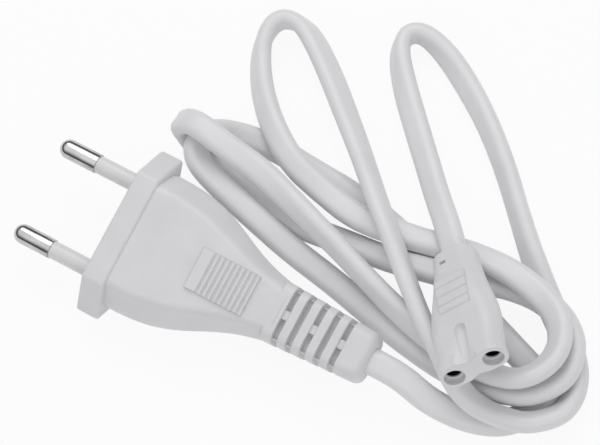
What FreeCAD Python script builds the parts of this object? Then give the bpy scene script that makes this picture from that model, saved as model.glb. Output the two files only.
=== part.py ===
import FreeCAD, Part
import math
import os

# Figure-eight power cord: a flat two-pin plug, a flat two-core cord and a
# figure-eight connector. Sizes in mm. The row frame has its origin at the
# middle of the plug's engagement face, +X along the plug towards the cord,
# -X along the pins and +Z up from the table.

V = FreeCAD.Vector
X_AXIS, Y_AXIS, Z_AXIS = V(1, 0, 0), V(0, 1, 0), V(0, 0, 1)

# How the object lies
plug_roll = 12.0
axis_height = 9.1
connector_face = (78.3, 4.9, 20.9)
connector_rear = (61.6, 25.45, 11.2)
connector_roll = -25.0

# Pins
pin_spacing = 19.0
pin_radius = 2.0
pin_length = 19.0
pin_neck_radius = 1.4
pin_shank_radius = 1.8
sleeve_radius = 1.8
sleeve_length = 10.2
sleeve_depth = 3.0
pin_collar_radius = 2.7
pin_collar_from = 5.0
pin_collar_length = 1.6
pin_barrel_radius = 1.6
pin_barrel_from = 11.0
pin_barrel_end = 18.0
crimp_depth = 4.5

# Plug moulding
flange_width = 36.0
flange_flat = 23.0
flange_height = 13.7
flange_thickness = 5.0
flange_edge = 0.6
bridge_from = 3.0
bridge_length = 7.4
bridge_wall = 0.4
bridge_height = 6.0
bridge_corner = 1.2
# station along the plug, half width, half height, half of the flat
body_stations = [
    (4.0, 15.4, 6.35, 10.6),
    (12.0, 15.0, 6.35, 10.4),
    (17.5, 13.8, 6.25, 9.4),
    (23.5, 11.2, 6.0, 7.6),
    (29.0, 8.6, 5.4, 5.9),
    (34.0, 7.0, 4.75, 4.8),
    (38.0, 6.2, 4.45, 4.2),
]
grip_from = 19.4
grip_length = 12.4
grip_width = 8.6
grip_plain = 2.4
grip_ribs = 9
grip_proud = 0.6
grip_groove = 0.4

# Strain relief
relief_from = 36.5
relief_end = 57.6
relief_half_width = (6.2, 5.2)
relief_half_height = (4.45, 3.7)
relief_corner = 2.4
relief_edge = 2.0
slot_first = 39.5
slot_pitch = 3.05
slot_count = 5
slot_width = 1.25
slot_depth = 1.9
slot_side_depth = 0.8
slot_end_wall = 1.2
slot_tab = 1.9
slot_tab_recess = 0.45

# Cord and its two cores
cord_width = 5.4
cord_thickness = 3.4
core_radius = 1.05
copper_radius = 0.5
core_spacing = 2.2
cord_into_plug = 21.0
cord_into_connector = 3.2
lead_start = 18.6
lead_bend = 3.6
plug_lead_bends = (22.2, 31.4)
connector_lead_bends = (18.4, 22.4)

# Connector
nose_half_height = 3.2
hole_spacing = 8.6
entry_radius = 2.05
entry_depth = 1.4
throat_radius = 1.5
throat_depth = 1.8
contact_from = 4.8
contact_radius = 1.5
contact_bore = 1.2
contact_bore_length = 8.0
contact_barrel_radius = 1.15
contact_barrel_end = 16.4
contact_crimp = 2.4
insert_end = 13.6
insert_wall = 0.3
insert_half_height = 1.8
insert_corner = 1.2
waist_radius = 1.15
waist_depth = 1.1
waist_length = 7.6
saddle_radius = 4.0
saddle_depth = 0.9
saddle_length = 6.5
# station from the nose, side wall outside the hole's axis, half height
connector_stations = [
    (0.0, 2.95, 3.2),
    (9.0, 2.7, 3.35),
    (14.0, 2.25, 3.75),
    (18.0, 1.35, 3.9),
    (22.0, 0.6, 3.75),
    (25.0, 0.25, 3.5),
    (28.2, 0.1, 3.35),
]
connector_round = 0.85
nose_edge = 0.6
connector_grip_from = 12.6
connector_grip_steps = (1.5, 2.2, 2.2, 2.0)
connector_grip_width = 6.6
connector_grip_proud = 0.45
collar_edge = 0.9
collar_slit = (1.3, 0.7, 1.2)
collar_slit_place = (3.6, 0.6)

# Route of the cord's middle: x, y and height over the table
route = [
    (63.4, 0.0, 9.1),
    (73.0, -0.6, 4.8),
    (79.6, 0.4, 1.9),
    (85.8, 3.2, 1.8),
    (88.2, 9.2, 1.8),
    (85.6, 15.0, 1.8),
    (75.0, 18.6, 1.8),
    (60.0, 23.2, 1.8),
    (44.0, 27.7, 1.8),
    (27.5, 30.5, 1.8),
    (14.5, 32.0, 1.9),
    (4.6, 30.2, 3.6),
    (1.5, 24.1, 5.6),
    (4.4, 18.0, 5.6),
    (12.5, 16.4, 5.2),
    (24.0, 14.1, 3.4),
    (36.5, 12.6, 1.9),
    (51.5, 9.6, 1.8),
    (63.5, 7.4, 1.9),
    (73.5, 6.6, 3.2),
    (82.0, 7.6, 5.4),
    (88.2, 11.6, 5.6),
    (91.2, 18.0, 5.6),
    (88.0, 24.4, 5.6),
    (80.6, 27.4, 5.5),
    (70.5, 26.2, 5.4),
    (58.0, 22.6, 5.3),
    (49.0, 20.8, 5.2),
    (34.0, 19.3, 1.9),
    (20.5, 20.0, 1.8),
    (8.5, 22.2, 1.8),
    (-3.4, 24.4, 1.8),
    (-3.4, 24.4, 11.8),
    (6.6, 26.8, 11.7),
    (16.0, 24.4, 9.2),
    (26.0, 21.9, 7.7),
    (36.5, 18.8, 7.5),
    (47.5, 15.4, 7.0),
    (58.0, 12.5, 5.1),
    (68.0, 10.5, 5.7),
    (76.0, 10.0, 7.6),
    (82.2, 12.0, 9.2),
    (86.0, 17.2, 9.3),
    (85.4, 23.6, 9.2),
    (80.0, 28.6, 9.2),
    (72.0, 31.4, 8.5),
    (63.6, 32.0, 3.5),
    (55.0, 31.4, 3.8),
    (46.0, 28.6, 5.75),
    (36.0, 26.4, 5.4),
    (27.0, 27.8, 5.4),
    (18.5, 31.6, 5.7),
    (11.0, 37.6, 5.4),
    (5.0, 45.0, 3.6),
    (0.8, 52.4, 3.4),
    (4.4, 59.4, 3.8),
    (12.4, 59.6, 4.4),
    (19.2, 50.2, 5.4),
    (31.0, 38.8, 7.8),
    (45.0, 26.4, 9.4),
    (57.6, 15.1, 9.2),
    (67.5, 6.7, 9.1),
    (75.2, 2.6, 7.8),
    (83.0, 1.2, 6.2),
    (90.6, 3.4, 5.4),
    (94.6, 9.4, 3.6),
    (94.0, 16.4, 2.1),
    (88.6, 23.0, 1.95),
    (78.0, 31.8, 1.8),
    (66.0, 42.0, 1.8),
    (54.5, 52.8, 1.8),
    (43.5, 62.2, 2.0),
    (35.4, 68.2, 2.6),
    (27.7, 65.3, 3.1),
    (26.1, 57.2, 3.7),
    (36.4, 49.2, 4.6),
]
cord_last_run = 16.0
arc_share = 0.45
level_rate = 4.0


def plug_frame():
    """Placement of the plug's own frame: rolled about its axis."""
    return FreeCAD.Placement(V(0, 0, 0), FreeCAD.Rotation(X_AXIS, plug_roll))


def connector_frame():
    """Placement of the connector: nose at the origin, +X towards its cord."""
    face = over_table(connector_face)
    back = (over_table(connector_rear) - face).normalize()
    side = Z_AXIS.cross(back).normalize()
    turn = FreeCAD.Rotation(back, side, back.cross(side), "XYZ")
    roll = FreeCAD.Rotation(back, connector_roll)
    return FreeCAD.Placement(face, roll.multiply(turn))


def over_table(point):
    """Row position of a point given with its height over the table."""
    return V(point[0], point[1], point[2] - axis_height)


def rounded_outline(corners, radii, x):
    """Closed wire in the plane X = x through (y, z) corners with rounded corners."""
    count = len(corners)
    points = [V(x, y, z) for y, z in corners]
    starts, ends, arcs = [], [], []
    for i in range(count):
        here = points[i]
        before = (points[i - 1] - here).normalize()
        after = (points[(i + 1) % count] - here).normalize()
        half = before.getAngle(after) / 2
        reach = radii[i] / math.tan(half)
        middle = (before + after).normalize()
        centre = here + middle * (radii[i] / math.sin(half))
        starts.append(here + before * reach)
        ends.append(here + after * reach)
        arcs.append(Part.Arc(starts[i], centre - middle * radii[i], ends[i]).toShape())
    edges = []
    for i in range(count):
        edges.append(arcs[i])
        edges.append(Part.LineSegment(ends[i], starts[(i + 1) % count]).toShape())
    return Part.Wire(edges)


def hexagon(x, half_width, half_height, half_flat, soft, tip):
    """Flattened hexagon with its points to the sides."""
    corners = [
        (half_flat, half_height),
        (half_width, 0),
        (half_flat, -half_height),
        (-half_flat, -half_height),
        (-half_width, 0),
        (-half_flat, half_height),
    ]
    return rounded_outline(corners, [soft, tip, soft, soft, tip, soft], x)


def block(x, half_width, half_height, radius):
    """Rounded rectangle across the X axis."""
    corners = [
        (half_width, half_height),
        (half_width, -half_height),
        (-half_width, -half_height),
        (-half_width, half_height),
    ]
    return rounded_outline(corners, [radius] * 4, x)


def prism(wire, length):
    return Part.Face(wire).extrude(V(length, 0, 0))


def turned(profile, y):
    """Solid turned about the line Y = y, Z = 0 from (x, radius) points."""
    points = [V(x, y + r, 0) for x, r in profile]
    return Part.Face(Part.makePolygon(points + points[:1])).revolve(V(0, y, 0), X_AXIS, 360)


def rod(x_from, x_to, radius, y=0.0, z=0.0):
    return Part.makeCylinder(radius, x_to - x_from, V(x_from, y, z), X_AXIS)


def box(x_from, x_to, half_y, z_from, z_to):
    return Part.makeBox(x_to - x_from, 2 * half_y, z_to - z_from, V(x_from, -half_y, z_from))


def side_profile(points, half_width):
    """Prism across Y from an outline of (x, z) points."""
    wire = Part.makePolygon([V(x, -half_width, z) for x, z in points + points[:1]])
    return Part.Face(wire).extrude(V(0, 2 * half_width, 0))


def mirrored(shape, axis):
    return shape.mirror(V(0, 0, 0), axis)


def blend(stations, x, column):
    """Value of a column of a station table at x."""
    for low, high in zip(stations, stations[1:]):
        if low[0] <= x <= high[0]:
            share = (x - low[0]) / (high[0] - low[0])
            return low[column] + share * (high[column] - low[column])
    raise ValueError("station out of range")


def path_pieces(points, bend=None):
    """Straight runs and tangent arcs that round a line of points.

    The arcs have the radius given, or else take their share of the runs.
    """
    pieces = []
    at = points[0]
    for before, here, after in zip(points, points[1:], points[2:]):
        back, onward = before - here, after - here
        half = back.getAngle(onward) / 2
        reach = bend / math.tan(half) if bend else arc_share * min(back.Length, onward.Length)
        radius = reach * math.tan(half)
        start = here + V(back).normalize() * reach
        end = here + V(onward).normalize() * reach
        middle = (V(back).normalize() + V(onward).normalize()).normalize()
        centre = here + middle * (radius / math.sin(half))
        pieces.append(("run", at, start))
        pieces.append(("arc", centre, onward.cross(back).normalize(), math.pi - 2 * half, radius))
        at = end
    pieces.append(("run", at, points[-1]))
    return pieces


def carried(outline, piece):
    """Outline moved to the end of a run, twisted run or arc."""
    onward = outline.copy()
    if piece[0] == "arc":
        onward.rotate(piece[1], piece[2], math.degrees(piece[3]))
        return onward
    step = piece[2] - piece[1]
    onward.translate(step)
    if piece[0] == "twist":
        onward.rotate(piece[2], step, piece[3])
    return onward


def swept(outline, pieces):
    """Solid of an outline carried along runs, twisted runs and arcs."""
    faces = [Part.Face(outline)]
    for piece in pieces:
        onward = carried(outline, piece)
        if piece[0] == "arc":
            faces += outline.revolve(piece[1], piece[2], math.degrees(piece[3])).Faces
        elif piece[0] == "twist":
            faces += Part.makeLoft([outline, onward], False, True).Faces
        else:
            faces += outline.extrude(piece[2] - piece[1]).Faces
        outline = onward
    faces.append(Part.Face(outline))
    shell = Part.makeShell(faces)
    shell.sewShape()
    solid = Part.makeSolid(shell)
    if solid.Volume < 0:
        solid.reverse()
    return solid


def kept_level(outline, pieces):
    """Pieces with the runs twisted a little so that the flat sides lie level."""
    level = []
    for piece in pieces:
        if piece[0] == "run":
            along = piece[2] - piece[1]
            flat = along.cross(Z_AXIS)
            if flat.Length > 0.7 * along.Length:
                most = level_rate * along.Length
                turn = half_turn(wide_of(outline), flat, along)
                piece = ("twist", piece[1], piece[2], max(-most, min(most, turn)))
        level.append(piece)
        outline = carried(outline, piece)
    return level, outline


def flat_oval(centre, along, wide):
    """Outline of the cord's section, its wide side along the given direction."""
    across = along.cross(wide).normalize()
    r = cord_thickness / 2
    reach = cord_width / 2 - r
    right, left = centre + wide * reach, centre - wide * reach
    edges = [
        Part.Arc(right + across * r, right + wide * r, right - across * r).toShape(),
        Part.LineSegment(right - across * r, left - across * r).toShape(),
        Part.Arc(left - across * r, left - wide * r, left + across * r).toShape(),
        Part.LineSegment(left + across * r, right + across * r).toShape(),
    ]
    return Part.Wire(edges)


def lead(points, radius, bore=0.0):
    """Round lead along points, hollow when a bore is given."""
    pieces = path_pieces(points, lead_bend)
    along = points[1] - points[0]
    solid = swept(Part.Wire(Part.makeCircle(radius, points[0], along)), pieces)
    if bore:
        core = swept(Part.Wire(Part.makeCircle(bore, points[0], along)), pieces)
        solid = solid.cut(core)
    return solid


def make_cord():
    """Flat cord from inside the plug to inside the connector."""
    plug, socket = plug_frame(), connector_frame()
    length = connector_length()
    start = V(relief_end - cord_into_plug, 0, 0)
    before = socket.multVec(V(length + cord_last_run, 0, 0))
    mouth = socket.multVec(V(length + 0.6, 0, 0))
    end = socket.multVec(V(length - cord_into_connector, 0, 0))
    points = [start] + [over_table(p) for p in route] + [before, end]
    outline = flat_oval(start, X_AXIS, plug.Rotation.multVec(Y_AXIS))
    pieces = path_pieces(points)
    last = pieces.pop()
    pieces, near = kept_level(outline, pieces)
    turn = half_turn(wide_of(near), socket.Rotation.multVec(Y_AXIS), last[2] - last[1])
    pieces += [("twist", last[1], mouth, turn), ("run", mouth, end)]
    solid = swept(outline, pieces)
    run = sum(p[4] * p[3] if p[0] == "arc" else (p[2] - p[1]).Length for p in pieces)
    print("cord length %.1f, section times length %.1f" % (run, Part.Face(outline).Area * run))
    print("smallest arc %.2f, last twist %.1f" % (min(p[4] for p in pieces if p[0] == "arc"), turn))
    return solid


def wide_of(outline):
    """Direction of the flat sides of a carried cord section."""
    ends = [v.Point for v in outline.Edges[1].Vertexes]
    return (ends[1] - ends[0]).normalize()


def half_turn(first, second, axis):
    """Angle in degrees, at most a quarter turn, that brings two lines together about an axis."""
    axis = V(axis).normalize()
    angle = math.degrees(math.atan2(axis.dot(first.cross(second)), first.dot(second)))
    return (angle + 90) % 180 - 90


def connector_length():
    return (over_table(connector_rear) - over_table(connector_face)).Length


def make_pin(side, filled=False):
    """Turned pin with a domed tip, a neck for its sleeve, a collar and a crimp barrel."""
    tip = pin_radius
    angles = [math.radians(a) for a in range(0, 91, 15)]
    profile = [(tip * (1 - math.cos(a)) - pin_length, tip * math.sin(a)) for a in angles]
    profile += [
        (-sleeve_length, pin_radius),
        (-sleeve_length, pin_neck_radius),
        (sleeve_depth, pin_neck_radius),
        (sleeve_depth, pin_shank_radius),
        (pin_collar_from, pin_shank_radius),
        (pin_collar_from, pin_collar_radius),
        (pin_collar_from + pin_collar_length, pin_collar_radius),
        (pin_collar_from + pin_collar_length, pin_shank_radius),
        (pin_barrel_from, pin_shank_radius),
        (pin_barrel_from, pin_barrel_radius),
        (pin_barrel_end, pin_barrel_radius),
    ]
    if filled:
        profile += [(pin_barrel_end, 0)]
    else:
        floor = pin_barrel_end - crimp_depth
        profile += [(pin_barrel_end, copper_radius), (floor, copper_radius), (floor, 0)]
    return turned(profile, side * pin_spacing / 2)


def make_sleeve(side):
    y = side * pin_spacing / 2
    outer = rod(-sleeve_length, sleeve_depth, sleeve_radius, y)
    return outer.cut(rod(-sleeve_length, sleeve_depth, pin_neck_radius, y))


def plug_lead_points(side, first):
    y, near = side * pin_spacing / 2, side * core_spacing / 2
    outer, inner = plug_lead_bends
    end = relief_end - cord_into_plug
    return [V(first, y, 0), V(outer, y, 0), V(inner, near, 0), V(end, near, 0)]


def make_grip():
    """Raised pad with cross ribs on the plug's upper face."""
    def top(x):
        return blend(body_stations, x, 2) + grip_proud

    end = grip_from + grip_length
    pitch = (grip_length - grip_plain) / grip_ribs
    line = [(grip_from, top(grip_from))]
    for rib in range(grip_ribs):
        x = grip_from + grip_plain + rib * pitch
        line += [(x, top(x)), (x + 0.2 * pitch, top(x) - grip_groove)]
        line += [(x + 0.4 * pitch, top(x) - grip_groove), (x + 0.55 * pitch, top(x))]
    line += [(end, top(end))]
    return side_profile(line + [(end, 3.0), (grip_from, 3.0)], grip_width / 2)


def make_relief():
    """Flexible tail with cross slots, open and bridged by turns."""
    (wide, narrow), (high, low) = relief_half_width, relief_half_height
    wires = [block(relief_from, wide, high, relief_corner), block(relief_end, narrow, low, relief_corner)]
    tail = Part.makeLoft(wires, True, True)
    tail = tail.makeFillet(relief_edge, edges_at(tail, relief_end))
    for number in range(slot_count):
        x = slot_first + number * slot_pitch
        share = (x - relief_from) / (relief_end - relief_from)
        w = wide + share * (narrow - wide)
        h = high + share * (low - high)
        start, end = x - slot_width / 2, x + slot_width / 2
        core = block(start, w - slot_side_depth, h - slot_tab_recess, relief_corner - slot_tab_recess)
        ring = prism(block(start, w + 1, h + 1, relief_corner), slot_width)
        cuts = [ring.cut(prism(core, slot_width))]
        for side in (-1, 1):
            reach = w - slot_end_wall
            deep = box(start, end, reach, h - slot_depth, h + 1)
            if number % 2 == 0:
                deep = deep.cut(box(start, end, slot_tab / 2, 0, h + 2))
            cuts.append(deep if side > 0 else mirrored(deep, Z_AXIS))
        tail = tail.cut(cuts[0].fuse(cuts[1:]))
    return tail


def edges_at(solid, x):
    """Edges of a solid that lie in the plane X = x."""
    return [e for e in solid.Edges if e.BoundBox.XLength < 0.01 and abs(e.BoundBox.XMin - x) < 0.01]


def cord_stub(x_from, x_to):
    """Straight length of the cord along X, used to shape the mouldings round it."""
    return Part.Face(flat_oval(V(x_from, 0, 0), X_AXIS, Y_AXIS)).extrude(V(x_to - x_from, 0, 0))


def make_plug_body():
    """Flange, body, grips and strain relief moulded as one round the inner pieces."""
    half = flange_width / 2
    flange = prism(hexagon(0, half, flange_height / 2, flange_flat / 2, 1.6, 1.2), flange_thickness)
    flange = flange.makeFillet(flange_edge, edges_at(flange, 0) + edges_at(flange, flange_thickness))
    wires = []
    for x, w, h, flat in body_stations:
        wires.append(hexagon(x, w, h, flat, min(2.2, h / 2), min(3.2, h / 2)))
    body = Part.makeLoft(wires, True, False)
    grip = make_grip()
    solid = body.fuse([flange, make_relief(), grip, mirrored(grip, Z_AXIS)]).removeSplitter()
    solid = solid.cut(bridge_blank())
    for side in (-1, 1):
        y = side * pin_spacing / 2
        solid = solid.cut(make_pin(side, True))
        solid = solid.cut(rod(-1.0, sleeve_depth, sleeve_radius, y))
        solid = solid.cut(rod(pin_barrel_end, lead_start, copper_radius, y))
        solid = solid.cut(lead(plug_lead_points(side, lead_start), core_radius))
    return solid.cut(cord_stub(relief_end - cord_into_plug, relief_end + 1.0))


def bridge_blank():
    half = pin_spacing / 2 + pin_collar_radius + bridge_wall
    return prism(block(bridge_from, half, bridge_height / 2, bridge_corner), bridge_length)


def make_bridge():
    """Stiff bar that holds the two pins at their spacing."""
    return bridge_blank().cut(make_pin(-1, True)).cut(make_pin(1, True))


def make_contact(side):
    """Tubular contact with a crimp barrel behind it."""
    floor = contact_from + contact_bore_length
    crimp = contact_barrel_end - contact_crimp
    profile = [
        (contact_from, contact_bore),
        (contact_from, contact_radius),
        (insert_end, contact_radius),
        (insert_end, contact_barrel_radius),
        (contact_barrel_end, contact_barrel_radius),
        (contact_barrel_end, copper_radius),
        (crimp, copper_radius),
        (crimp, 0),
        (floor, 0),
        (floor, contact_bore),
    ]
    return turned(profile, side * hole_spacing / 2)


def connector_lead_points(side, first):
    y, near = side * hole_spacing / 2, side * core_spacing / 2
    outer, inner = connector_lead_bends
    end = connector_length() - cord_into_connector
    return [V(first, y, 0), V(outer, y, 0), V(inner, near, 0), V(end, near, 0)]


def insert_blank():
    half = hole_spacing / 2 + contact_radius + insert_wall
    wire = block(throat_depth, half, insert_half_height, insert_corner)
    return prism(wire, insert_end - throat_depth)


def make_insert():
    """Stiff carrier that holds the two contacts at their spacing."""
    solid = insert_blank()
    for side in (-1, 1):
        solid = solid.cut(rod(throat_depth, insert_end, contact_radius, side * hole_spacing / 2))
    return solid


def make_saddle():
    """Round cut that dips between the lobes at the nose and runs out behind it."""
    slope = saddle_depth / saddle_length
    start = V(-1.0, 0, nose_half_height - saddle_depth + saddle_radius - slope)
    return Part.makeCylinder(saddle_radius, saddle_length + 2.0, start, V(1, 0, slope))


def make_connector_body():
    """Figure-eight nose, grip and collar moulded as one round the inner pieces."""
    length = connector_length()
    axis = hole_spacing / 2
    wires = [block(x, axis + wall, h, connector_round * h) for x, wall, h in connector_stations[:-1]]
    x, wall, h = connector_stations[-1]
    wires.append(block(length, axis + wall, h, connector_round * h))
    body = Part.makeLoft(wires, True, False)
    body = body.makeFillet(collar_edge, edges_at(body, length))
    body = body.makeFillet(nose_edge, edges_at(body, 0))
    line, x = [], connector_grip_from
    for step in connector_grip_steps:
        top = blend(connector_stations, x, 2) + connector_grip_proud
        line += [(x, top - 0.35), (x + 0.35, top)]
        x += step
        line += [(x - 0.1, blend(connector_stations, x, 2) + connector_grip_proud)]
    grip = side_profile(line + [(x, 1.5), (connector_grip_from, 1.5)], connector_grip_width / 2)
    solid = body.fuse(grip).removeSplitter()
    middle = nose_half_height - waist_depth + waist_radius
    groove = rod(-1.0, waist_length, waist_radius, 0, middle)
    groove = groove.fuse(Part.makeSphere(waist_radius, V(waist_length, 0, middle)))
    saddle = make_saddle()
    solid = solid.cut([groove, mirrored(groove, Z_AXIS), saddle, mirrored(saddle, Z_AXIS)])
    solid = solid.cut(insert_blank())
    for side in (-1, 1):
        y = side * hole_spacing / 2
        solid = solid.cut(rod(-1.0, entry_depth, entry_radius, y))
        solid = solid.cut(rod(entry_depth - 0.1, throat_depth, throat_radius, y))
        solid = solid.cut(rod(insert_end, contact_barrel_end, contact_barrel_radius, y))
        solid = solid.cut(rod(contact_barrel_end, contact_barrel_end + 0.2, copper_radius, y))
        solid = solid.cut(lead(connector_lead_points(side, contact_barrel_end + 0.2), core_radius))
    long, wide, deep = collar_slit
    before_end, aside = collar_slit_place
    solid = solid.cut(Part.makeBox(wide, long, deep, V(length - before_end, aside, h - deep + 0.3)))
    return solid.cut(cord_stub(length - cord_into_connector, length + 1.0))


def main():
    plug, socket = plug_frame(), connector_frame()
    plug_nodes = {"plug_body": make_plug_body(), "plug_bridge": make_bridge()}
    socket_nodes = {"connector_body": make_connector_body(), "connector_insert": make_insert()}
    for name, side in (("right", 1), ("left", -1)):
        crimp = plug_lead_points(side, pin_barrel_end - crimp_depth)
        core = plug_lead_points(side, lead_start)
        plug_nodes["pin_" + name] = make_pin(side)
        plug_nodes["pin_sleeve_" + name] = make_sleeve(side)
        plug_nodes["plug_copper_" + name] = lead(crimp, copper_radius)
        plug_nodes["plug_core_" + name] = lead(core, core_radius, copper_radius)
        crimp = connector_lead_points(side, contact_barrel_end - contact_crimp)
        core = connector_lead_points(side, contact_barrel_end + 0.2)
        socket_nodes["contact_" + name] = make_contact(side)
        socket_nodes["connector_copper_" + name] = lead(crimp, copper_radius)
        socket_nodes["connector_core_" + name] = lead(core, core_radius, copper_radius)
    nodes = {"cord": make_cord()}
    for frame, group in ((plug, plug_nodes), (socket, socket_nodes)):
        for name, shape in group.items():
            shape.Placement = frame.multiply(shape.Placement)
            nodes[name] = shape
    os.makedirs("parts", exist_ok=True)
    for name, shape in nodes.items():
        state = "valid" if shape.isValid() else "not valid"
        print("%-24s solids %d, %s, volume %.2f" % (name, len(shape.Solids), state, shape.Volume))
        shape.exportStep("parts/%s.step" % name)


main()
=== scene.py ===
"""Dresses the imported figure-eight power cord: plug, flat cord and connector on a white table."""

import logging
import math
from dataclasses import dataclass
from enum import Enum
from typing import Iterable, Optional, Sequence

import bmesh
import bpy
from mathutils import Matrix, Vector


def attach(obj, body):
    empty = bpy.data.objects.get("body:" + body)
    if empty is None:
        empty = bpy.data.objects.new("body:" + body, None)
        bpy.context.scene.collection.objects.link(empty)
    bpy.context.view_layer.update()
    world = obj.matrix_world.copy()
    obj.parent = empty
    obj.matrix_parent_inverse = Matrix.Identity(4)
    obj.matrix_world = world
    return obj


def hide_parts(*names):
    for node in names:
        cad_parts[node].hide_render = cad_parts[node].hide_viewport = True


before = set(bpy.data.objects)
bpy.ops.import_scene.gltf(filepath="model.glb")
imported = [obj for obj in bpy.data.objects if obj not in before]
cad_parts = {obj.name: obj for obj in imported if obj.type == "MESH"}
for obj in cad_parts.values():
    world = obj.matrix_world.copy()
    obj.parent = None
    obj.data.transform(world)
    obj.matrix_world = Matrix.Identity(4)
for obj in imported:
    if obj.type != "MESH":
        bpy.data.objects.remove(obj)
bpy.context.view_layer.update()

MM = 0.001
TABLE = -9.1 * MM
IMAGE_WIDTH = 600
WELD_MM = 0.002
SLIVER_MM = 0.0005
log = logging.getLogger("power_cord")


class Grain(Enum):
    """How the surface of a plastic piece was made."""

    MOULDED = "spark-eroded mould, fine satin pits"
    EXTRUDED = "drawn through a die, faint lines along its length"


class Edge(Enum):
    """How far apart two faces may turn and still be shaded as one curve, in degrees."""

    SOFT = 42.0
    CRISP = 28.0


def linear(hex_colour: str) -> tuple[float, float, float, float]:
    """Turn an sRGB hex colour into linear RGBA.

    Args:
        hex_colour: Six hex digits after a hash sign.

    Returns:
        Red, green, blue and alpha for a shader socket.
    """
    parts = [int(hex_colour[i:i + 2], 16) / 255 for i in (1, 3, 5)]
    red, green, blue = [c / 12.92 if c <= 0.04045 else ((c + 0.055) / 1.055) ** 2.4 for c in parts]
    return red, green, blue, 1.0


def add_node(tree: bpy.types.NodeTree, kind: str, settings: Optional[dict] = None,
             values: Optional[dict] = None, links: Optional[dict] = None) -> bpy.types.Node:
    """Add a node with its settings, socket values and incoming links.

    Args:
        tree: Node tree that gets the node.
        kind: Blender's type name of the node.
        settings: Attributes of the node.
        values: Constant values by input name or index.
        links: Output sockets by the input name or index they feed.

    Returns:
        The new node.
    """
    node = tree.nodes.new(kind)
    for name, value in (settings or {}).items():
        setattr(node, name, value)
    for key, value in (values or {}).items():
        node.inputs[key].default_value = value
    for key, socket in (links or {}).items():
        tree.links.new(socket, node.inputs[key])
    return node


def new_material(name: str) -> tuple[bpy.types.Material, bpy.types.NodeTree, bpy.types.Node]:
    """Start a material with an empty Principled shader.

    Args:
        name: Name of the real material.

    Returns:
        The material, its node tree and its shader node.
    """
    material = bpy.data.materials.new(name)
    material.use_nodes = True
    tree = material.node_tree
    tree.nodes.clear()
    shader = add_node(tree, "ShaderNodeBsdfPrincipled")
    add_node(tree, "ShaderNodeOutputMaterial", links={"Surface": shader.outputs[0]})
    return material, tree, shader


def scaled(tree: bpy.types.NodeTree, place: bpy.types.NodeSocket,
           scale: Sequence[float]) -> bpy.types.NodeSocket:
    """Scale texture coordinates along their three axes.

    Args:
        tree: Node tree that gets the node.
        place: Coordinates to scale.
        scale: Factor along each axis.

    Returns:
        The scaled coordinates.
    """
    return add_node(tree, "ShaderNodeMapping", values={"Scale": scale}, links={"Vector": place}).outputs[0]


def two_tone(tree: bpy.types.NodeTree, value: bpy.types.NodeSocket, colours: tuple[str, str],
             span: tuple[float, float]) -> bpy.types.NodeSocket:
    """Blend two close colours by a value between 0 and 1.

    Args:
        tree: Node tree that gets the node.
        value: What decides between the colours.
        colours: Darker and lighter colour, in hex.
        span: Values at which the blend begins and ends.

    Returns:
        The blended colour.
    """
    ramp = add_node(tree, "ShaderNodeValToRGB", links={"Fac": value})
    for stop, position, colour in zip(ramp.color_ramp.elements, span, colours):
        stop.position = position
        stop.color = linear(colour)
    return ramp.outputs[0]


def feed(tree: bpy.types.NodeTree, node: bpy.types.Node, links: dict[str, bpy.types.NodeSocket]) -> None:
    """Link output sockets to the named inputs of a node."""
    for name, socket in links.items():
        tree.links.new(socket, node.inputs[name])


@dataclass(frozen=True)
class Plastic:
    """A moulded or extruded plastic, told by its colour, gloss and grain."""

    name: str
    light: str
    dark: str
    roughness: float
    grain: Grain
    grain_mm: float
    grain_depth_mm: float
    tone_mm: float = 7.0
    noise_span: tuple[float, float] = (0.3, 0.7)
    gloss_spread: float = 0.05
    drawn_stretch: float = 0.09
    ior: float = 1.52
    soft_edge_mm: float = 0.3
    soft_edge_samples: int = 6

    def material(self) -> bpy.types.Material:
        """Build the node material.

        Returns:
            The material, ready to lay on a piece.
        """
        material, tree, shader = new_material(self.name)
        if self.grain is Grain.EXTRUDED:
            # The cord's map counts millimetres round the section and along the length.
            place = add_node(tree, "ShaderNodeUVMap", {"uv_map": "sheath"}).outputs[0]
            stretch, unit = (1.0, self.drawn_stretch, 1.0), 1.0
        else:
            place = add_node(tree, "ShaderNodeTexCoord").outputs["Object"]
            stretch, unit = (1.0, 1.0, 1.0), 1 / MM
        low, high = self.noise_span
        tone = add_node(tree, "ShaderNodeTexNoise",
                        values={"Scale": 1 / self.tone_mm, "Detail": 3.0, "Roughness": 0.55},
                        links={"Vector": scaled(tree, place, [unit] * 3)})
        colour = two_tone(tree, tone.outputs["Fac"], (self.dark, self.light), self.noise_span)
        grain = add_node(tree, "ShaderNodeTexNoise",
                         values={"Scale": 1 / self.grain_mm, "Detail": 2.0, "Roughness": 0.6},
                         links={"Vector": scaled(tree, place, [unit * part for part in stretch])})
        gloss = add_node(tree, "ShaderNodeMapRange",
                         values={"From Min": low, "From Max": high,
                                 "To Min": self.roughness - self.gloss_spread,
                                 "To Max": self.roughness + self.gloss_spread},
                         links={"Value": grain.outputs["Fac"]})
        edges = add_node(tree, "ShaderNodeBevel", {"samples": self.soft_edge_samples},
                         {"Radius": self.soft_edge_mm * MM})
        bump = add_node(tree, "ShaderNodeBump",
                        values={"Strength": 1.0, "Distance": self.grain_depth_mm * MM},
                        links={"Height": grain.outputs["Fac"], "Normal": edges.outputs[0]})
        shader.inputs["IOR"].default_value = self.ior
        feed(tree, shader, {"Base Color": colour, "Roughness": gloss.outputs[0], "Normal": bump.outputs[0]})
        return material


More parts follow.
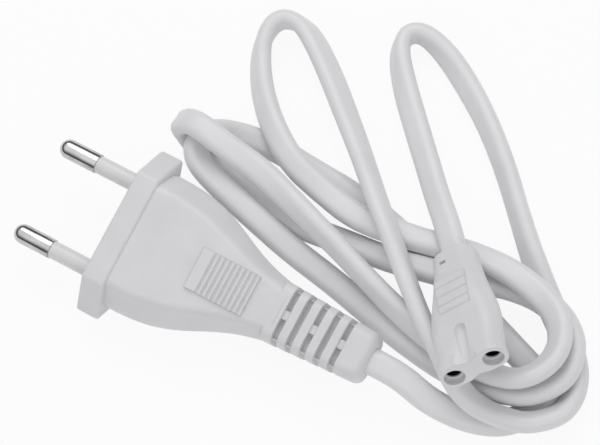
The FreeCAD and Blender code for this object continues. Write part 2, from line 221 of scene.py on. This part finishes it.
@dataclass(frozen=True)
class Metal:
    """A bright metal with faint lines across its length from turning or drawing."""

    name: str
    light: str
    dark: str
    roughness: float
    line_mm: float
    line_depth_mm: float
    line_stretch: float = 0.05
    tarnish_mm: float = 2.5
    tarnish_span: tuple[float, float] = (0.35, 0.65)
    gloss_spread: tuple[float, float] = (-0.04, 0.06)

    def material(self) -> bpy.types.Material:
        """Build the node material.

        Returns:
            The material, ready to lay on a piece.
        """
        material, tree, shader = new_material(self.name)
        place = add_node(tree, "ShaderNodeTexCoord").outputs["Object"]
        across = self.line_stretch / MM
        turned = add_node(tree, "ShaderNodeTexNoise", values={"Scale": 1 / self.line_mm, "Detail": 2.0},
                          links={"Vector": scaled(tree, place, (1 / MM, across, across))})
        tarnish = add_node(tree, "ShaderNodeTexNoise", values={"Scale": 1 / self.tarnish_mm, "Detail": 4.0},
                           links={"Vector": scaled(tree, place, [1 / MM] * 3)})
        colour = two_tone(tree, tarnish.outputs["Fac"], (self.dark, self.light), self.tarnish_span)
        less, more = self.gloss_spread
        gloss = add_node(tree, "ShaderNodeMapRange",
                         values={"To Min": self.roughness + less, "To Max": self.roughness + more},
                         links={"Value": turned.outputs["Fac"]})
        bump = add_node(tree, "ShaderNodeBump",
                        values={"Strength": 1.0, "Distance": self.line_depth_mm * MM},
                        links={"Height": turned.outputs["Fac"]})
        shader.inputs["Metallic"].default_value = 1.0
        feed(tree, shader, {"Base Color": colour, "Roughness": gloss.outputs[0], "Normal": bump.outputs[0]})
        return material


# Soft PVC from a spark-eroded mould: white with a cold cast, satin, pits that only soften the gloss.
MOULDED_PVC = Plastic("soft_pvc_moulded_white", "#E2E2E4", "#DCDCDF", 0.44, Grain.MOULDED, 0.35, 0.012)
# Extruded PVC sheath: a little brighter and smoother, with faint lines along its length.
SHEATH_PVC = Plastic("soft_pvc_extruded_white", "#E8E8EA", "#E3E3E5", 0.4, Grain.EXTRUDED, 0.5, 0.016, 9.0)
# Sleeves of hard polyamide: slightly whiter and glossier than the mouldings.
SLEEVE = Plastic("polyamide_moulded_white", "#E4E4E5", "#DEDEE0", 0.36, Grain.MOULDED, 0.3, 0.008)
# Glass-filled polyester that carries pins and contacts: cream, dull, with a coarse grain.
CARRIER = Plastic("filled_polyester_moulded_cream", "#D9D5C8", "#CDC8B9", 0.6, Grain.MOULDED, 0.45, 0.02)
# The same filled polyester, coloured black, carries the contacts; the black is painted shade that makes the
# connector's holes look dark, as the shade deep in them does.
CARRIER_PAINTED_SHADE = Plastic("filled_polyester_painted_shade_black", "#141414", "#0E0E0F", 0.5, Grain.MOULDED, 0.45, 0.02)
# Core insulation: smooth PVC in the two usual colours.
BROWN_CORE = Plastic("pvc_core_brown", "#5A3826", "#4C2F20", 0.38, Grain.MOULDED, 0.4, 0.008)
BLUE_CORE = Plastic("pvc_core_blue", "#2A5CA8", "#23509A", 0.38, Grain.MOULDED, 0.4, 0.008)
# Brass turned, barrel-polished and nickel plated: a neutral white metal with clear reflections.
NICKEL = Metal("nickel_plated_brass_turned", "#C8C8C7", "#B3B3B3", 0.12, 0.12, 0.001)
# Bare brass drawn into tube for the contacts.
BRASS = Metal("brass_drawn_bright", "#D9B566", "#C6A052", 0.24, 0.15, 0.002)
# Fine copper strands, seen as one wire with lines across it.
COPPER = Metal("copper_stranded", "#D08E68", "#B67450", 0.3, 0.2, 0.01)


def smooth_copy(node: str, name: str, edge: Edge) -> bpy.types.Object:
    """Copy a solid's mesh with its triangles joined and its curves shaded smoothly.

    Args:
        node: Name of the solid.
        name: Name of the new piece.
        edge: How sharply its faces may meet before an edge shows.

    Returns:
        The new piece, which stands for the solid.
    """
    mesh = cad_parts[node].data.copy()
    mesh.name = name
    work = bmesh.new()
    work.from_mesh(mesh)
    bmesh.ops.remove_doubles(work, verts=work.verts, dist=WELD_MM * MM)
    bmesh.ops.dissolve_degenerate(work, dist=SLIVER_MM * MM, edges=work.edges)
    for face in work.faces:
        face.smooth = True
    for line in work.edges:
        line.smooth = line.is_manifold and line.calc_face_angle(0.0) < math.radians(edge.value)
    work.to_mesh(mesh)
    work.free()
    piece = bpy.data.objects.new(name, mesh)
    bpy.context.scene.collection.objects.link(piece)
    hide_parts(node)
    return piece


def dress(piece: bpy.types.Object, material: bpy.types.Material) -> None:
    """Give a piece one material on all its faces."""
    piece.data.materials.clear()
    piece.data.materials.append(material)
    for face in piece.data.polygons:
        face.material_index = 0


def settle(piece: bpy.types.Object) -> None:
    """Tie a new piece to the one rigid body."""
    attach(piece, "root")
    log.info("%s: %d faces", piece.name, len(piece.data.polygons))


@dataclass
class EndPiece:
    """A moulded end of the cord with what it holds."""

    outer: dict[str, tuple[str, Plastic | Metal, Edge]]
    inner: dict[str, Plastic | Metal]

    def build(self, finishes: dict[str, bpy.types.Material]) -> list[bpy.types.Object]:
        """Dress the outer pieces as smooth copies and the inner ones where they are.

        Args:
            finishes: Materials by name.

        Returns:
            The new outer pieces.
        """
        pieces = []
        for node, (slot, finish, edge) in self.outer.items():
            piece = smooth_copy(node, node + "_dressed", edge)
            dress(piece, finishes[finish.name])
            settle(piece)
            pieces.append(piece)
        for node, finish in self.inner.items():
            dress(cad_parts[node], finishes[finish.name])
            log.info("%s: dressed where it is", node)
        return pieces


PLUG = EndPiece(
    outer={
        "plug_body": ("plug_moulding", MOULDED_PVC, Edge.CRISP),
        "pin_right": ("plated_pin", NICKEL, Edge.SOFT),
        "pin_left": ("plated_pin", NICKEL, Edge.SOFT),
        "pin_sleeve_right": ("pin_sleeve", SLEEVE, Edge.SOFT),
        "pin_sleeve_left": ("pin_sleeve", SLEEVE, Edge.SOFT),
    },
    inner={
        "plug_bridge": CARRIER,
        "plug_copper_right": COPPER,
        "plug_copper_left": COPPER,
        "plug_core_right": BROWN_CORE,
        "plug_core_left": BLUE_CORE,
    },
)
CONNECTOR = EndPiece(
    outer={
        "connector_body": ("connector_moulding", MOULDED_PVC, Edge.CRISP),
        "contact_right": ("contact_brass", BRASS, Edge.SOFT),
        "contact_left": ("contact_brass", BRASS, Edge.SOFT),
    },
    inner={
        # Its black finish is painted shade that darkens the connector's holes.
        "connector_insert": CARRIER_PAINTED_SHADE,
        "connector_copper_right": COPPER,
        "connector_copper_left": COPPER,
        "connector_core_right": BROWN_CORE,
        "connector_core_left": BLUE_CORE,
    },
)


@dataclass
class FlatCord:
    """Flat two-core cord that lies in folds between plug and connector.

    The route's points give x, y and the height over the table in millimetres, and how far the
    wide side is turned out of level, in degrees. A positive turn lifts the right-hand side, as
    seen along the cord from the plug. Where less than the least level share of the cord's
    direction is level, the wide side carries on from the point before.
    """

    width_mm: float = 5.4
    thickness_mm: float = 3.4
    round_steps: int = 10
    flat_steps: int = 3
    spline_steps: int = 8
    least_level_share: float = 0.35
    exit_mm: tuple[float, float, float] = (57.6, 0.0, 0.0)
    route: tuple[tuple[float, float, float, float], ...] = (
        # out of the strain relief and down to the table
        (37.0, 0.0, 9.1, -12), (50.6, 0.0, 9.1, -12), (59.5, 0.0, 9.2, -12), (64.4, 0.0, 8.5, -12),
        (70.3, -0.9, 5.6, -7), (77.8, 0.1, 2.8, 0), (83.9, 2.6, 1.9, 5), (87.3, 6.5, 1.9, 8),
        (89.1, 10.8, 1.9, 10), (87.8, 13.9, 1.9, 10), (84.1, 15.0, 1.9, 6), (76.4, 17.8, 1.9, 0),
        # under everything to the far left, and round to the front
        (66.5, 21.3, 1.8, 0), (55.5, 24.7, 1.8, 0), (44.1, 28.3, 1.8, 0), (34.9, 30.1, 1.8, 0),
        (25.5, 30.6, 1.8, 0), (15.9, 31.5, 1.8, 0), (9.3, 30.5, 2.6, 10), (4.3, 27.7, 5.8, 30),
        (2.8, 23.6, 6.1, 35), (4.9, 20.5, 5.9, 30), (10.4, 18.5, 5.8, 10), (21.6, 15.7, 5.2, 0),
        (31.0, 13.8, 3.1, 0), (40.7, 12.5, 1.8, 0), (52.0, 9.9, 1.8, 0), (61.9, 8.0, 1.9, 0),
        # the outer ring on the right and back under the connector
        (71.5, 6.9, 2.3, 0), (80.9, 7.5, 4.0, 36), (86.4, 8.9, 5.5, 42), (90.4, 13.6, 6.2, 35),
        (90.9, 17.7, 6.2, 40), (89.3, 22.0, 6.3, 40), (85.4, 25.4, 5.9, 30), (79.5, 27.4, 5.7, 10),
        (72.0, 26.9, 5.0, -8), (64.4, 24.1, 5.2, -18), (56.9, 22.2, 5.7, -15), (47.7, 20.9, 3.7, -12),
        (38.7, 20.7, 2.0, -10), (30.2, 19.5, 1.9, 0), (20.8, 19.6, 1.8, 0), (11.1, 21.3, 1.9, 0),
        # folded back over itself at the left tip
        (3.9, 23.6, 1.7, 0), (-1.0, 25.8, 3.1, 0), (-2.2, 25.8, 7.0, 0), (1.7, 26.1, 11.2, 0),
        (10.3, 24.5, 10.4, 0), (18.6, 23.7, 9.2, -20), (28.6, 20.7, 8.1, -45), (38.5, 17.8, 7.6, -65),
        (48.0, 14.5, 7.1, -70), (57.0, 11.8, 5.7, -55), (65.5, 10.3, 5.6, -10), (73.7, 9.1, 6.1, 20),
        # the inner ring on the right
        (81.9, 9.0, 8.9, 48), (85.9, 11.4, 9.8, 50), (88.0, 16.3, 9.9, 40), (87.4, 20.9, 9.9, 40),
        (83.7, 25.3, 9.7, 30), (77.2, 27.5, 9.4, 10), (70.6, 28.6, 8.8, -5), (62.2, 28.8, 6.5, -12),
        (54.0, 27.1, 5.8, -15), (46.3, 25.8, 5.9, 4), (38.2, 25.2, 5.4, 0), (29.9, 27.0, 5.3, 5),
        # the left loop at the back
        (21.8, 29.0, 6.2, 15), (14.4, 33.9, 6.0, 30), (7.8, 40.2, 3.7, 45), (3.7, 46.2, 3.7, 60),
        (1.9, 51.1, 3.9, 80), (2.6, 55.3, 4.2, 88), (6.2, 56.5, 4.6, 80), (10.7, 55.1, 4.8, 50),
        (18.6, 49.3, 5.5, 36), (26.2, 42.8, 6.8, 40), (33.9, 36.2, 8.2, 56), (42.2, 28.6, 9.8, 62),
        (49.5, 22.4, 10.5, 68), (56.9, 15.9, 10.4, 75), (63.8, 10.3, 10.3, 75), (68.5, 7.5, 9.9, 60),
        # under the connector's nose and round the right end
        (72.7, 4.5, 9.5, 40), (75.9, 2.9, 7.7, 34), (80.1, 2.3, 6.5, 40), (84.6, 2.8, 6.2, 44),
        (89.0, 3.9, 6.1, 46), (93.3, 8.3, 5.0, 44), (93.8, 12.6, 3.3, 48), (92.3, 17.4, 2.6, 38),
        (88.3, 22.0, 1.9, 10), (82.8, 26.2, 1.8, 0), (77.7, 30.3, 2.1, 20), (72.2, 35.3, 2.6, 50),
        # the right loop at the back and into the connector
        (66.1, 41.3, 2.6, 62), (58.8, 48.7, 2.6, 58), (50.7, 55.7, 2.6, 54), (42.8, 61.1, 2.5, 40),
        (36.1, 64.8, 2.8, 52), (30.1, 66.5, 3.3, 80), (27.1, 64.7, 3.6, 92), (27.7, 60.3, 4.0, 115),
        (32.9, 54.0, 4.4, 145), (39.3, 47.6, 5.0, 153), (45.2, 41.8, 5.5, 149), (51.0, 36.0, 6.9, 146),
        (56.5, 30.9, 9.4, 155), (61.9, 25.2, 11.2, 155), (63.5, 23.1, 12.3, 155),
    )

    def line(self, values: Sequence[Sequence[float]]) -> list[Vector]:
        """Read the points of a smooth spline that takes the given values as control points.

        Args:
            values: Control points, three numbers each.

        Returns:
            Points along the spline, in order.
        """
        curve = bpy.data.curves.new("cord_line", "CURVE")
        curve.dimensions = "3D"
        spline = curve.splines.new("NURBS")
        spline.points.add(len(values) - 1)
        for point, value in zip(spline.points, values):
            point.co = (*value, 1.0)
        spline.order_u = 3
        spline.use_endpoint_u = True
        spline.resolution_u = self.spline_steps
        holder = bpy.data.objects.new("cord_line", curve)
        bpy.context.scene.collection.objects.link(holder)
        bpy.context.view_layer.update()
        mesh = bpy.data.meshes.new_from_object(holder.evaluated_get(bpy.context.evaluated_depsgraph_get()))
        points = [vertex.co.copy() for vertex in mesh.vertices]
        bpy.data.objects.remove(holder)
        bpy.data.curves.remove(curve)
        bpy.data.meshes.remove(mesh)
        return points

    def section(self) -> list[tuple[float, float]]:
        """Outline of the flat section: two round sides joined by flats, in metres.

        Returns:
            Points along the wide side and across it, counter-clockwise.
        """
        radius = self.thickness_mm * MM / 2
        reach = self.width_mm * MM / 2 - radius
        points = []
        for side, start in ((1, -90), (-1, 90)):
            for step in range(self.round_steps + 1):
                angle = math.radians(start + 180 * step / self.round_steps)
                points.append((side * reach + radius * math.cos(angle), radius * math.sin(angle)))
            for step in range(1, self.flat_steps):
                points.append((side * reach * (1 - 2 * step / self.flat_steps), side * radius))
        return points

    def frames(self, path: list[Vector], turns: list[float]) -> list[tuple[Vector, Vector]]:
        """Directions of the wide side and of the face at each point of the path.

        Args:
            path: Points of the cord's middle.
            turns: Degrees that the wide side is turned out of level.

        Returns:
            Unit vectors along the wide side and out of the upper face.
        """
        frames: list[tuple[Vector, Vector]] = []
        level = Vector((0, 1, 0))
        for index, turn in enumerate(turns):
            onward = path[min(index + 1, len(path) - 1)] - path[max(index - 1, 0)]
            onward.normalize()
            flat = onward.cross(Vector((0, 0, 1)))
            if flat.length > self.least_level_share:
                level = flat.normalized()
            else:
                level = (level - onward * level.dot(onward)).normalized()
            wide = Matrix.Rotation(math.radians(turn), 3, -onward) @ level
            if frames and wide.dot(frames[-1][0]) < 0:
                wide = -wide
            frames.append((wide, onward.cross(wide)))
        return frames

    def mesh(self, path: list[Vector], turns: list[float]) -> bpy.types.Mesh:
        """Closed skin of the cord with a map in millimetres.

        Args:
            path: Points of the cord's middle.
            turns: Degrees that the wide side is turned out of level.

        Returns:
            The mesh, with rounded long sides and closed ends.
        """
        outline = self.section()
        count = len(outline)
        girth = [0.0]
        for here, there in zip(outline, outline[1:] + outline[:1]):
            girth.append(girth[-1] + math.dist(here, there) / MM)
        work = bmesh.new()
        rings = []
        for point, (wide, face) in zip(path, self.frames(path, turns)):
            rings.append([work.verts.new(point + wide * a + face * b) for a, b in outline])
        sheath = work.loops.layers.uv.new("sheath")
        along = 0.0
        for index in range(len(rings) - 1):
            step = (path[index + 1] - path[index]).length / MM
            for side in range(count):
                after = (side + 1) % count
                corners = (rings[index][side], rings[index][after],
                           rings[index + 1][after], rings[index + 1][side])
                skin = work.faces.new(corners)
                skin.smooth = True
                spots = ((girth[side], along), (girth[side + 1], along),
                         (girth[side + 1], along + step), (girth[side], along + step))
                for corner, spot in zip(skin.loops, spots):
                    corner[sheath].uv = spot
            along += step
        work.faces.new(list(reversed(rings[0])))
        work.faces.new(rings[-1])
        bmesh.ops.recalc_face_normals(work, faces=work.faces)
        mesh = bpy.data.meshes.new("cord_sheath")
        work.to_mesh(mesh)
        work.free()
        return mesh

    def build(self, finish: bpy.types.Material, ends: Iterable[bpy.types.Object]) -> bpy.types.Object:
        """Args:
            finish: Material of the sheath.
            ends: Pieces at the cord's far end; not used.

        Returns:
            The cord's piece.
        """
        path = self.line([(x * MM, y * MM, h * MM + TABLE) for x, y, h, _ in self.route])
        turns = [point.x for point in self.line([(turn, 0, 0) for *_, turn in self.route])]
        piece = bpy.data.objects.new("cord_sheath", self.mesh(path, turns))
        bpy.context.scene.collection.objects.link(piece)
        dress(piece, finish)
        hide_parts("cord")
        settle(piece)
        return piece


@dataclass(frozen=True)
class View:
    """The photograph's camera: where it stands, how it is turned and how narrow it looks."""

    place_mm: tuple[float, float, float] = (219.6, -152.2, 593.6)
    right: tuple[float, float, float] = (0.8513, 0.5096, -0.1247)
    up: tuple[float, float, float] = (-0.4356, 0.8190, 0.3734)
    focal_pixels: float = 3324.5
    sensor_mm: float = 36.0
    sight_mm: tuple[float, float] = (10.0, 20000.0)

    def build(self) -> bpy.types.Object:
        """Create the camera and make it the scene's own.

        Returns:
            The camera object.
        """
        data = bpy.data.cameras.new("photo_camera")
        data.sensor_width = self.sensor_mm
        data.lens = self.sensor_mm * self.focal_pixels / IMAGE_WIDTH
        data.clip_start, data.clip_end = [distance * MM for distance in self.sight_mm]
        camera = bpy.data.objects.new("photo_camera", data)
        right = Vector(self.right).normalized()
        back = right.cross(Vector(self.up)).normalized()
        turn = Matrix((right, back.cross(right), back)).transposed().to_4x4()
        camera.matrix_world = Matrix.Translation(Vector(self.place_mm) * MM) @ turn
        bpy.context.scene.collection.objects.link(camera)
        bpy.context.scene.camera = camera
        return camera


@dataclass(frozen=True)
class Lamp:
    """A soft box: its place and aim in millimetres, its side and its power."""

    name: str
    place_mm: tuple[float, float, float]
    aim_mm: tuple[float, float, float]
    side_mm: float
    watts: float

    def build(self) -> bpy.types.Object:
        """Create the lamp.

        Returns:
            The lamp object.
        """
        data = bpy.data.lights.new(self.name, "AREA")
        data.shape = "SQUARE"
        data.size = self.side_mm * MM
        data.energy = self.watts
        lamp = bpy.data.objects.new(self.name, data)
        place, aim = Vector(self.place_mm) * MM, Vector(self.aim_mm) * MM
        turn = (place - aim).to_track_quat("Z", "Y").to_matrix().to_4x4()
        lamp.matrix_world = Matrix.Translation(place) @ turn
        bpy.context.scene.collection.objects.link(lamp)
        return lamp


@dataclass(frozen=True)
class Studio:
    """White table and soft light."""

    table_mm: float = 3000.0
    board: str = "#F4F4F4"
    sky: str = "#FFFFFF"
    sky_strength: float = 0.6
    horizon_strength: float = 0.1
    overhead_strength: float = 1.15
    horizon_to_overhead: tuple[float, float] = (0.3, 0.75)
    shadow_share: float = 0.1
    lamps: tuple[Lamp, ...] = (
        Lamp("soft_box_back", (-250.0, 420.0, 620.0), (40.0, 20.0, 0.0), 520.0, 1.6),
        Lamp("soft_box_front", (420.0, -380.0, 520.0), (40.0, 20.0, 0.0), 620.0, 0.75),
    )

    def board_material(self) -> bpy.types.Material:
        """Make the board that shows white to the camera, with a faint shadow of the object.

        Returns:
            The table's material.
        """
        material = bpy.data.materials.new("matt_white_board")
        material.use_nodes = True
        tree = material.node_tree
        tree.nodes.clear()
        rays = add_node(tree, "ShaderNodeLightPath")
        seen = add_node(tree, "ShaderNodeMath", {"operation": "MAXIMUM"},
                        links={0: rays.outputs["Is Camera Ray"], 1: rays.outputs["Is Glossy Ray"]})
        seen = add_node(tree, "ShaderNodeMath", {"operation": "MAXIMUM"},
                        links={0: seen.outputs[0], 1: rays.outputs["Is Transmission Ray"]})
        share = add_node(tree, "ShaderNodeMath", {"operation": "MULTIPLY"}, {1: 1 - self.shadow_share},
                         {0: seen.outputs[0]})
        board = add_node(tree, "ShaderNodeBsdfDiffuse", values={"Color": linear(self.board)})
        white = add_node(tree, "ShaderNodeEmission", values={"Color": linear(self.sky), "Strength": 1.0})
        mixed = add_node(tree, "ShaderNodeMixShader",
                         links={0: share.outputs[0], 1: board.outputs[0], 2: white.outputs[0]})
        add_node(tree, "ShaderNodeOutputMaterial", links={"Surface": mixed.outputs[0]})
        return material

    def table(self) -> bpy.types.Object:
        """Lay the table.

        Returns:
            The table's object, which is no part of the product.
        """
        half = self.table_mm * MM / 2
        work = bmesh.new()
        corners = ((-half, -half), (half, -half), (half, half), (-half, half))
        work.faces.new([work.verts.new((x, y, TABLE)) for x, y in corners])
        mesh = bpy.data.meshes.new("white_table")
        work.to_mesh(mesh)
        work.free()
        mesh.materials.append(self.board_material())
        table = bpy.data.objects.new("white_table", mesh)
        bpy.context.scene.collection.objects.link(table)
        return table

    def sky_light(self) -> None:
        """Fill the room with even light; shiny pieces mirror a dark rim and a bright ceiling."""
        world = bpy.data.worlds.new("white_room")
        world.use_nodes = True
        tree = world.node_tree
        tree.nodes.clear()
        rays = add_node(tree, "ShaderNodeLightPath")
        toward = add_node(tree, "ShaderNodeTexCoord").outputs["Generated"]
        height = add_node(tree, "ShaderNodeSeparateXYZ", links={"Vector": toward}).outputs["Z"]
        low, high = self.horizon_to_overhead
        mirrored = add_node(tree, "ShaderNodeMapRange",
                            values={"From Min": low, "From Max": high, "To Min": self.horizon_strength,
                                    "To Max": self.overhead_strength},
                            links={"Value": height})
        even = add_node(tree, "ShaderNodeBackground",
                        values={"Color": linear(self.sky), "Strength": self.sky_strength})
        shiny = add_node(tree, "ShaderNodeBackground", values={"Color": linear(self.sky)},
                         links={"Strength": mirrored.outputs[0]})
        white = add_node(tree, "ShaderNodeBackground", values={"Color": linear(self.sky), "Strength": 1.0})
        lit = add_node(tree, "ShaderNodeMixShader",
                       links={0: rays.outputs["Is Glossy Ray"], 1: even.outputs[0], 2: shiny.outputs[0]})
        seen = add_node(tree, "ShaderNodeMixShader",
                        links={0: rays.outputs["Is Camera Ray"], 1: lit.outputs[0], 2: white.outputs[0]})
        add_node(tree, "ShaderNodeOutputWorld", links={"Surface": seen.outputs[0]})
        bpy.context.scene.world = world

    def build(self) -> None:
        """Set up the table, the room's light and the lamps."""
        self.table()
        self.sky_light()
        for lamp in self.lamps:
            lamp.build()
        bpy.context.scene.view_settings.view_transform = "Standard"


def main() -> None:
    """Build camera, cord, ends and studio in order."""
    logging.basicConfig(level=logging.INFO, format="%(name)s: %(message)s")
    View().build()
    plastics = (MOULDED_PVC, SHEATH_PVC, SLEEVE, CARRIER, CARRIER_PAINTED_SHADE, BROWN_CORE, BLUE_CORE)
    finishes = {finish.name: finish.material() for finish in (*plastics, NICKEL, BRASS, COPPER)}
    PLUG.build(finishes)
    connector = CONNECTOR.build(finishes)
    FlatCord().build(finishes[SHEATH_PVC.name], connector)
    Studio().build()


if __name__ == "__main__":
    main()
